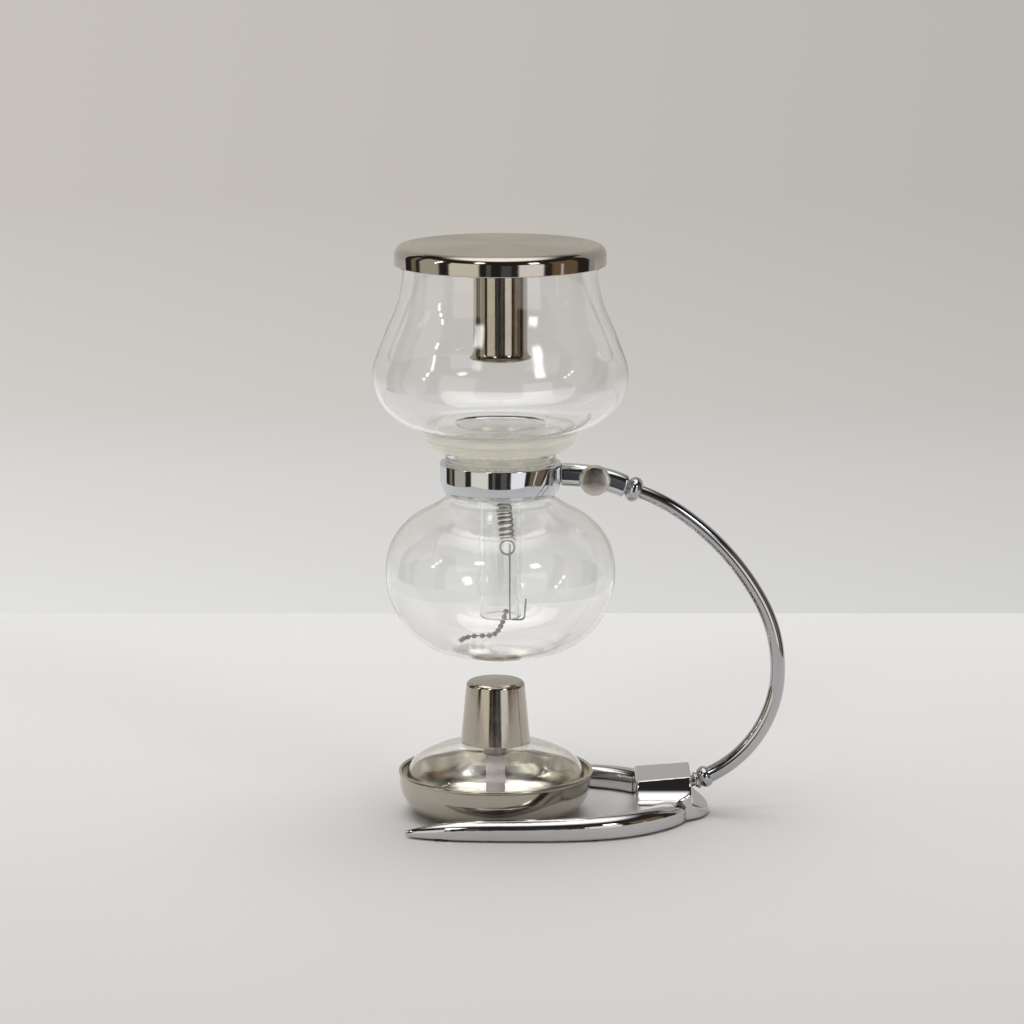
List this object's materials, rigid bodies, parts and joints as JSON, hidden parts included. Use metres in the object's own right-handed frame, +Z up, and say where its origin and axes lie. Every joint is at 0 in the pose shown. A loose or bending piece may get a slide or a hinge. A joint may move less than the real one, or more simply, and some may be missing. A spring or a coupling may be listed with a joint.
{
  "type": "siphon coffee maker",
  "caption": "Table-top siphon coffee maker: two glass bowls in a clamp ring on a curved chromed arm and cast base, with a spirit lamp in a tray and a lid that is also a bowl stand.",
  "frame": {"origin": "on the table, in the middle of the whole outline seen from above", "axes": "+X from the bowls towards the curved arm, -Y towards the clamp knob, +Z up"},
  "size_m": [0.1798, 0.1106, 0.252],
  "materials": {
    "cast_chrome": "polished chrome over a die casting",
    "arm_chrome": "polished chrome",
    "ring_chrome": "polished chrome",
    "knob_steel": "fine turned face, satin",
    "plated_screw": "plated steel, semi-bright",
    "liner_silicone": "cream silicone, matt",
    "seal_silicone": "translucent cream silicone, glossy",
    "pad_rubber": "matt black rubber",
    "bowl_glass": "clear thin heat-proof glass",
    "lamp_clear_glass": "clear pressed glass",
    "filter_steel": "bright stainless wire and sheet",
    "filter_flannel": "brushed cotton filter cloth",
    "lid_steel": "satin top with a polished rim",
    "tube_steel": "polished stainless tube",
    "tray_nickel": "warm polished nickel",
    "cap_nickel": "warm polished nickel",
    "wick_cotton": "plaited cotton"
  },
  "bodies": {
    "stand": {"base_casting": "cast_chrome", "foot_pads": "pad_rubber", "lower_stud": "plated_screw", "lower_ferrule": "arm_chrome", "support_arm": "arm_chrome", "upper_ferrule": "arm_chrome", "upper_stud": "plated_screw", "arm_bracket": "arm_chrome", "clamp_ring": "ring_chrome", "clamp_liner": "liner_silicone", "lower_bowl": "bowl_glass"},
    "clamp_knob": {"clamp_knob": "knob_steel", "clamp_screw": "plated_screw"},
    "upper_bowl": {"upper_bowl": "bowl_glass", "bowl_seal": "seal_silicone"},
    "filter": {"filter_plate": "filter_steel", "filter_cloth": "filter_flannel", "filter_boss": "filter_steel", "filter_spring": "filter_steel", "spring_loop": "filter_steel", "filter_hook": "filter_steel", "bead_chain": "filter_steel"},
    "lid": {"lid_cover": "lid_steel", "lid_stand_tube": "tube_steel"},
    "lamp": {"lamp_tray": "tray_nickel", "lamp_glass": "lamp_clear_glass", "wick_holder": "plated_screw", "lamp_wick": "wick_cotton"},
    "lamp_cap": {"lamp_cap": "cap_nickel"}
  },
  "joints": [
    {"name": "clamp_knob_turn", "type": "hinge", "parent": "stand", "child": "clamp_knob", "pos_m": [0.00615, 0, 0.1495], "axis": [0, -1, 0], "range_deg": [0, 360]},
    {"name": "upper_bowl_lift", "type": "slide", "parent": "stand", "child": "upper_bowl", "axis": [0, 0, 1], "range_m": [0, 0.11]},
    {"name": "filter_turn", "type": "hinge", "parent": "upper_bowl", "child": "filter", "pos_m": [-0.03465, 0, 0.15], "axis": [0, 0, 1], "range_deg": [-180, 180]},
    {"name": "lid_lift", "type": "slide", "parent": "upper_bowl", "child": "lid", "axis": [0, 0, 1], "range_m": [0, 0.06]},
    {"name": "lamp_slide", "type": "slide", "parent": "stand", "child": "lamp", "axis": [-1, 0, 0], "range_m": [0, 0.15]},
    {"name": "cap_lift", "type": "slide", "parent": "lamp", "child": "lamp_cap", "axis": [0, 0, 1], "range_m": [0, 0.009]}
  ]
}
